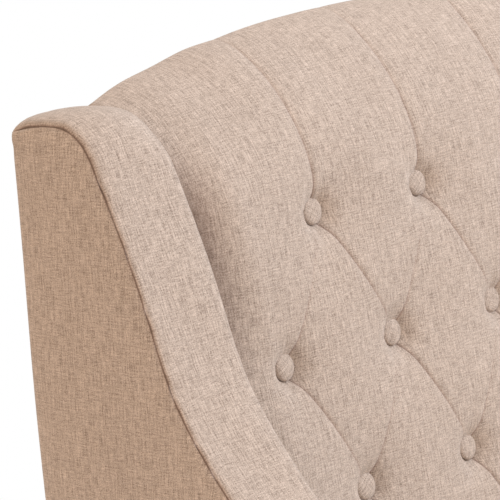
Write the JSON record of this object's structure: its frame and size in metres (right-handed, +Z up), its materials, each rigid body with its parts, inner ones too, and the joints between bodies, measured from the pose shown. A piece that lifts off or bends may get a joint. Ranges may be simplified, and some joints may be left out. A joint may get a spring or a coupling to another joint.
{
  "type": "upholstered wingback bed",
  "caption": "Queen-size bed with a button-tufted headboard between two curved wings, padded linen side rails, a low padded footboard and a slatted base on a centre rail.",
  "frame": {"origin": "on the floor, at the middle of the bed's overall length and width", "axes": "+X to the right seen from the foot of the bed, +Y towards the headboard, +Z up"},
  "size_m": [1.732, 2.295, 1.37],
  "materials": {
    "linen": "heathered beige linen weave",
    "buttons": "linen-covered buttons on waxed twine",
    "pine": "planed softwood",
    "plywood": "plywood",
    "dark_wood": "dark stained hardwood",
    "black_plastic": "moulded",
    "black_steel": "powder-coated steel",
    "zinc": "zinc-plated"
  },
  "bodies": {
    "bed": {"headboard_pad": "linen", "headboard_front_board": "plywood", "tuft_button_row_1": "buttons", "tuft_button_row_2": "buttons", "tuft_button_row_3": "buttons", "tuft_button_row_4": "buttons", "tuft_button_row_5": "buttons", "headboard_stile_left": "pine", "headboard_stile_right": "pine", "headboard_centre_rib": "plywood", "headboard_bottom_rail": "pine", "headboard_top_rail": "pine", "headboard_back_cover": "linen", "wing_core_left": "plywood", "wing_core_right": "plywood", "wing_pad_left": "linen", "wing_pad_right": "linen", "wing_foot_left": "black_plastic", "wing_foot_right": "black_plastic", "side_rail_board_left": "pine", "side_rail_board_right": "pine", "side_rail_cover_left": "linen", "side_rail_cover_right": "linen", "slat_ledger_left": "pine", "slat_ledger_right": "pine", "rail_plate_head_left": "black_steel", "rail_plate_head_right": "black_steel", "rail_angle_foot_left": "black_steel", "rail_angle_foot_right": "black_steel", "rail_bolt_head_left_1": "zinc", "rail_bolt_head_left_2": "zinc", "rail_bolt_head_right_1": "zinc", "rail_bolt_head_right_2": "zinc", "rail_bolt_foot_left_1": "zinc", "rail_bolt_foot_left_2": "zinc", "rail_bolt_foot_right_1": "zinc", "rail_bolt_foot_right_2": "zinc", "footboard_board": "pine", "footboard_pad": "linen", "footboard_foot_left": "dark_wood", "footboard_foot_right": "dark_wood", "slat_01": "pine", "slat_02": "pine", "slat_03": "pine", "slat_04": "pine", "slat_05": "pine", "slat_06": "pine", "slat_07": "pine", "slat_08": "pine", "slat_09": "pine", "slat_10": "pine", "slat_11": "pine", "slat_12": "pine", "centre_rail": "pine", "centre_stirrup_foot": "black_steel", "centre_stirrup_head": "black_steel", "centre_leg_foot": "dark_wood", "centre_leg_head": "dark_wood"},
    "leveller_foot": {"centre_leveller_foot": "black_plastic"},
    "leveller_head": {"centre_leveller_head": "black_plastic"}
  },
  "joints": [
    {"name": "leveller_foot_screw", "type": "slide", "parent": "bed", "child": "leveller_foot", "axis": [0, 0, -1], "range_m": [0, 0.02]},
    {"name": "leveller_head_screw", "type": "slide", "parent": "bed", "child": "leveller_head", "axis": [0, 0, -1], "range_m": [0, 0.02]}
  ]
}
